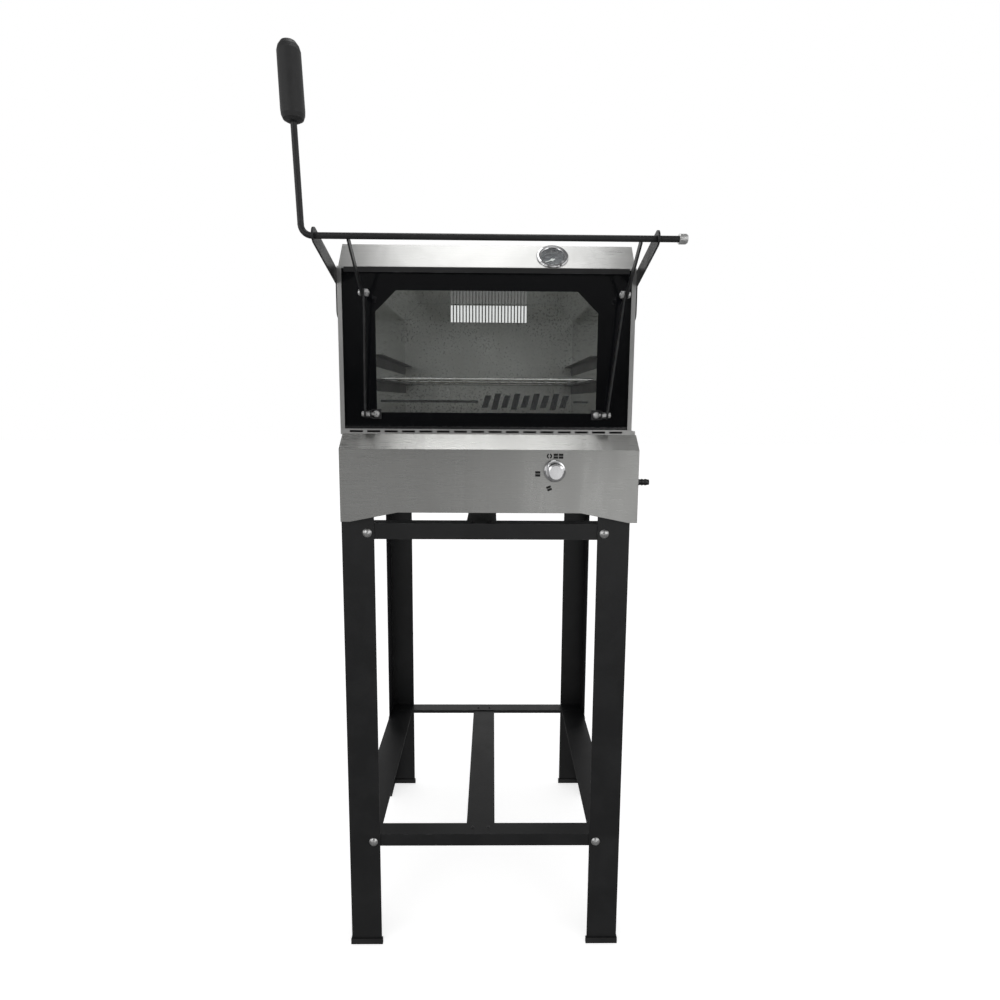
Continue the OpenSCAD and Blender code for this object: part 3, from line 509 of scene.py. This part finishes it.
# Marks split by a stencil's bridge, in mm from the knob's middle:
# across, up, half width and half height of each bar, how far the bars sit from the middle, turn.
SPLIT_MARKS = (
    (1.8, MARKS_TOP, 4.1, 2.1, 2.5, 0),
    (11.2, MARKS_TOP, 4.1, 2.1, 2.5, 0),
    (-30.5, -5.5, 4.6, 2.2, 2.7, 0),
    (-9.5, -32, 4.3, 2.0, 2.4, 22),
)


def panel_marks():
    """Stencilled marks round the knob: a split ring, two split bars, a split square and a turned one."""
    knob_low, knob_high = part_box("control_knob")
    knob_x, knob_z = (knob_low.x + knob_high.x) / 2, (knob_low.z + knob_high.z) / 2
    panel_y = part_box("control_panel")[0].y
    bm = bmesh.new()

    def place(u, v, w):
        return Vector((knob_x + u * MM, panel_y - w, knob_z + v * MM))

    for side in (1, -1):
        half_ring = [(side * a, b) for a, b in arc_band(2.3, 4.9, -74, 74)]
        prism(bm, moved(half_ring, -9.8, MARKS_TOP), place, INK)
    for across, up, half_width, half_height, away, turn in SPLIT_MARKS:
        for rise in (-away, away):
            bar = block(-half_width, rise - half_height, half_width, rise + half_height)
            prism(bm, moved(bar, across, up, turn), place, INK)
    piece("panel_marks", finish_mesh(bm, "panel_marks"), panel_ink, "oven")


panel_marks()

# The print on the glass, in mm: heights are above the floor, and half heights are up and down from there.
RULE_UP = 1094.75
RULES = ((-196, -16, 2.25), (161, 189, 1.75))  # left end, right end, half height
BARS_UP, BAR_COUNT, FIRST_BAR, BAR_STEP = 1095, 9, -2, 18
BAR_WIDE, BAR_SLANT, SHORT_BAR, TALL_BAR = 11, 7.5, 11.5, 15
INTO_GLASS = 0.18 * MM


def glass_lines():
    """Printed rules along the window's foot, with a plain ornament of slanted bars between them."""
    ink_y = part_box("door_print")[0].y + INTO_GLASS
    bm = bmesh.new()

    def place(u, v, w):
        return Vector((u * MM, ink_y - w, v * MM))

    for left, right, half in RULES:
        prism(bm, block(left, RULE_UP - half, right, RULE_UP + half), place, INK)
    for i in range(BAR_COUNT):
        left = FIRST_BAR + i * BAR_STEP
        half = TALL_BAR if i % 2 else SHORT_BAR
        low, high = BARS_UP - half, BARS_UP + half
        foot = left - BAR_SLANT
        prism(bm, [(foot, low), (foot + BAR_WIDE, low), (left + BAR_WIDE, high), (left, high)], place, INK)
    piece("glass_lines", finish_mesh(bm, "glass_lines"), line_ink, "door")


glass_lines()

DIAL_DEPTH = 8.5 * MM  # from the needle joint's point back to the dial's face
DIAL_SWEEP, DIAL_TOP = 270, 90  # degrees
FULL_SCALE, SCALE_STEP = 300, 100
TICKS, TICKS_PER_LONG = 30, 5
# Radii and half widths in mm: a tick's inner end and half width, then every tick's outer end.
LONG_TICK, SHORT_TICK, TICK_END = (16.4, 0.34), (18.0, 0.18), 20.2
RING, NUMERAL_R, NUMERAL_SIZE = (20.4, 20.8), 12.4, 5.2


def numeral(bm, value, size, u, v, place):
    """A flat number, centred on (u, v)."""
    text = bpy.data.curves.new("numeral", "FONT")
    text.body = str(value)
    text.size = size
    text.align_x, text.align_y = "CENTER", "CENTER"
    text.resolution_u = 2
    carrier = bpy.data.objects.new("numeral", text)
    flat = carrier.to_mesh()
    corners = [bm.verts.new(place(u + p.co.x, v + p.co.y, INK)) for p in flat.vertices]
    for face in flat.polygons:
        bm.faces.new([corners[i] for i in face.vertices])
    carrier.to_mesh_clear()
    bpy.data.objects.remove(carrier)
    bpy.data.curves.remove(text)


def dial_marks():
    """Ticks, a thin ring and plain numbers on the thermometer's face."""
    needle_joint = next(j for j in frame["joints"] if j["name"] == "needle_turn")
    right = Vector((1, 0, 0))
    out = -Vector(needle_joint["axis"]).normalized()
    middle = Vector(needle_joint["pos_m"]) - out * DIAL_DEPTH
    up = out.cross(right)
    last, first = DIAL_TOP - DIAL_SWEEP / 2, DIAL_TOP + DIAL_SWEEP / 2
    bm = bmesh.new()

    def place(u, v, w):
        return middle + right * (u * MM) + up * (v * MM) + out * w

    for i in range(TICKS + 1):
        inner, half = SHORT_TICK if i % TICKS_PER_LONG else LONG_TICK
        tick = block(inner, -half, TICK_END, half)
        prism(bm, moved(tick, 0, 0, first - DIAL_SWEEP * i / TICKS), place, INK)
    prism(bm, arc_band(*RING, last, first, 48), place, INK)
    for value in range(0, FULL_SCALE + 1, SCALE_STEP):
        turn = math.radians(first - DIAL_SWEEP * value / FULL_SCALE)
        numeral(bm, value, NUMERAL_SIZE, NUMERAL_R * math.cos(turn), NUMERAL_R * math.sin(turn), place)
    piece("dial_marks", finish_mesh(bm, "dial_marks"), dial_ink, "oven")


dial_marks()

# ---------------------------------------------------------------- fasteners and the strip's end

# As in the CAD: the rod's upper eye, the crank beside it, and how far the rod's plain nut stands inwards.
EYE_R, EYE_T, CRANK_T, CRANK_GAP, NUT_STUB = 7 * MM, 3 * MM, 3 * MM, 1.2 * MM, 5.5 * MM
# Turned profiles, in mm: points (along the axis, radius).
HEX_NUT = ((0, 6.1), (0, 6.8), (5.2, 6.8), (6, 6.0))
BOLT_END = ((6, 3.0), (7.4, 3.0), (7.8, 2.4))
BOLT_HEAD = ((0, 6.4), (0.8, 6.4), (0.8, 5.8), (3.2, 5.6), (4.1, 4.6), (4.5, 2.5))
BLIND_RIVET = ((0, 3.4), (0.5, 3.3), (1.2, 2.2), (1.4, 1.0), (1.0, 0.6))
SMALL_RIVET = ((0, 1.6), (0.4, 1.5), (0.9, 0.7))


def upper_pivot(name, side):
    """A hex nut on the rod's inner side and a domed bolt head on the crank's outer side."""
    low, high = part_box("connecting_rod_" + name)
    y, z = low.y + EYE_R, high.z - EYE_R
    eye_outer = high.x if side > 0 else high.x - NUT_STUB - EYE_T
    eye_inner = eye_outer - side * EYE_T
    crank_outer = eye_outer + side * (CRANK_GAP + CRANK_T)

    def inwards(u, v, w):
        return Vector((eye_inner - side * w, y + u, z + v))

    def outwards(u, v, w):
        return Vector((crank_outer + side * w, y + u, z + v))

    bm = bmesh.new()
    turned(bm, HEX_NUT, 6, inwards)
    turned(bm, BOLT_END, 16, inwards)
    piece("pivot_nut_" + name, finish_mesh(bm, "pivot_nut_" + name), zinc, "rod_" + name)
    bm = bmesh.new()
    turned(bm, BOLT_HEAD, 28, outwards)
    piece("pivot_head_" + name, finish_mesh(bm, "pivot_head_" + name), zinc, "lever")


upper_pivot("left", -1)
upper_pivot("right", 1)


# Rows of rivets: the node, the rows as shares of its height, and the mm in from its sides.
RIVET_ROWS = (("back_panel", (0.012, 0.5, 0.9), 9), ("base_shell", (0.12, 0.92), 14))


def rear_rivets():
    """Blind rivets that hold the outer back and the back of the base shell."""
    bm = bmesh.new()
    for node, rows, inset_mm in RIVET_ROWS:
        low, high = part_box(node)
        inset = inset_mm * MM
        for row in rows:
            z = low.z + (high.z - low.z) * row
            for share in (0, 0.25, 0.75, 1):
                x = low.x + inset + (high.x - low.x - 2 * inset) * share
                turned(bm, BLIND_RIVET, 20, lambda u, v, w: Vector((x + u, high.y + w, z + v)))
    piece("rear_rivets", finish_mesh(bm, "rear_rivets"), zinc, "oven")


rear_rivets()


PLATE_T, PLATE_CUT = 1.1 * MM, 1.5 * MM
PLATE_LOW, PLATE_TOP, PLATE_SIDE = 1.8 * MM, 2.2 * MM, 0.2 * MM  # gaps to the strip's bottom, top and end


def strip_end():
    """A small plate with a rivet that covers the gap beside the slotted strip."""
    strip_low, strip_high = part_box("vent_strip")
    left, edge = strip_high.x + PLATE_SIDE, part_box("base_shell")[1].x
    bottom, top = strip_low.z + PLATE_LOW, strip_high.z - PLATE_TOP
    bm = bmesh.new()

    def place(u, v, w):
        return Vector((u, strip_high.y - w, v))

    outline = [(left, bottom), (edge, bottom), (edge, top - PLATE_CUT), (edge - PLATE_CUT, top), (left, top)]
    prism(bm, outline, place, PLATE_T)
    centre = Vector(((left + edge) / 2, strip_high.y - PLATE_T, (bottom + top) / 2))
    turned(bm, SMALL_RIVET, 16, lambda u, v, w: centre + Vector((u, -w, v)))
    piece("strip_end", finish_mesh(bm, "strip_end"), strip_steel, "oven")


strip_end()

# ---------------------------------------------------------------- studio

CARD_Y = -2.9
WORLD_ROUND, WORLD_OVERHEAD = 0.8, 0.17


def grid_object(name, material, size_x, size_y, matrix):
    bm = bmesh.new()
    bmesh.ops.create_grid(bm, x_segments=8, y_segments=8, size=1)
    data = finish_mesh(bm, name)
    data.materials.append(material)
    obj = bpy.data.objects.new(name, data)
    obj.matrix_world = matrix @ Matrix.Diagonal((size_x, size_y, 1, 1))
    bpy.context.scene.collection.objects.link(obj)
    return obj


def stage_floor():
    """A pale floor that glows a little, and that gloss sees as a dim grey."""
    net = Net("floor_paint")
    cloud = net.noise(1.5, 4, 0.6)
    fine = net.noise(90, 3, 0.6)
    tone = net.mix(net.spread(cloud, 0.3, 0.7), (0.9, 0.9, 0.9), (0.93, 0.93, 0.93))
    net.set(Base_Color=tone, Roughness=net.spread(fine, 0.3, 0.7, 0.75, 0.9),
            Normal=net.bump(fine, 0.05, 0.0005), Emission_Color=(1.0, 1.0, 1.0), Emission_Strength=0.72)
    dim = net.add("ShaderNodeEmission")
    dim.inputs["Strength"].default_value = 0.2
    net.swap_for("Is Glossy Ray", dim)
    grid_object("floor", net.material, 14, 14, Matrix.Translation((0, 0, cad_box[0].z)))


def card(name, low, high, axis, start, dark, light):
    """An upright screen behind the camera, seen only in gloss. Its glow grows along an axis, past a start."""
    net = Net(name)
    split = net.add("ShaderNodeSeparateXYZ")
    net.link(net.place, split.inputs[0])
    glow = net.spread(split.outputs[axis], start, 1.0, dark, light)
    net.link(glow, net.shader.inputs["Emission Strength"])
    net.set(Base_Color=(0.01, 0.01, 0.01), Roughness=1.0, Emission_Color=(1.0, 1.0, 1.0))
    half_x, half_z = (high[0] - low[0]) / 2, (high[1] - low[1]) / 2
    place = Matrix.Translation(((low[0] + high[0]) / 2, CARD_Y, (low[1] + high[1]) / 2))
    upright = Matrix.Rotation(math.radians(90), 4, "X")
    screen = grid_object(name, net.material, half_x, half_z, place @ upright)
    screen.visible_camera = screen.visible_diffuse = screen.visible_shadow = False


def softbox(name, place, aim, size, radiance, in_gloss=True):
    """A rectangular lamp aimed at a point, as bright for any size."""
    data = bpy.data.lights.new(name, "AREA")
    data.shape = "RECTANGLE"
    data.size, data.size_y = size
    data.energy = radiance * size[0] * size[1] * math.pi
    light = bpy.data.objects.new(name, data)
    light.location = place
    light.rotation_euler = (Vector(aim) - Vector(place)).to_track_quat("-Z", "Y").to_euler()
    light.visible_glossy = in_gloss
    bpy.context.scene.collection.objects.link(light)


def studio_world():
    """White for the eye; for light and gloss, bright all round and dim overhead."""
    world = bpy.data.worlds.new("studio")
    bpy.context.scene.world = world
    world.use_nodes = True
    tree = world.node_tree
    tree.nodes.clear()
    add, link = tree.nodes.new, tree.links.new
    out, seen, lit, both = (add(kind) for kind in (
        "ShaderNodeOutputWorld", "ShaderNodeBackground", "ShaderNodeBackground", "ShaderNodeMixShader"))
    split = add("ShaderNodeSeparateXYZ")
    link(add("ShaderNodeTexCoord").outputs["Generated"], split.inputs[0])
    height = add("ShaderNodeMapRange")
    for key, number in (("From Min", 0.35), ("From Max", 0.75),
                        ("To Min", WORLD_ROUND), ("To Max", WORLD_OVERHEAD)):
        height.inputs[key].default_value = number
    link(split.outputs["Z"], height.inputs["Value"])
    lit.inputs["Color"].default_value = (1, 1, 1, 1)
    link(height.outputs[0], lit.inputs["Strength"])
    seen.inputs["Color"].default_value = (1, 1, 1, 1)
    seen.inputs["Strength"].default_value = 1.0
    link(add("ShaderNodeLightPath").outputs["Is Camera Ray"], both.inputs["Fac"])
    link(lit.outputs[0], both.inputs[1])
    link(seen.outputs[0], both.inputs[2])
    link(both.outputs[0], out.inputs["Surface"])


bpy.context.scene.view_settings.view_transform = "Standard"
stage_floor()
card("upper_card", (-1.3, 0.93), (1.3, 2.2), "Y", -0.6, 0.012, 0.2)
card("lower_card", (-1.3, 0.0), (1.3, 0.93), "X", -0.15, 0.39, 1.25)
studio_world()
softbox("overhead", (0.0, -0.12, 2.95), (0.0, -0.12, 0.0), (0.95, 1.1), 2.6)
softbox("front_left", (-1.6, -2.2, 2.0), (0.0, 0.0, 1.1), (1.0, 1.2), 1.2)
softbox("front_right", (1.7, -2.1, 1.8), (0.0, 0.0, 1.1), (0.9, 1.2), 1.0)
softbox("front_fill", (0.0, -2.4, 1.22), (0.0, 0.0, 1.18), (1.3, 0.6), 0.55, in_gloss=False)
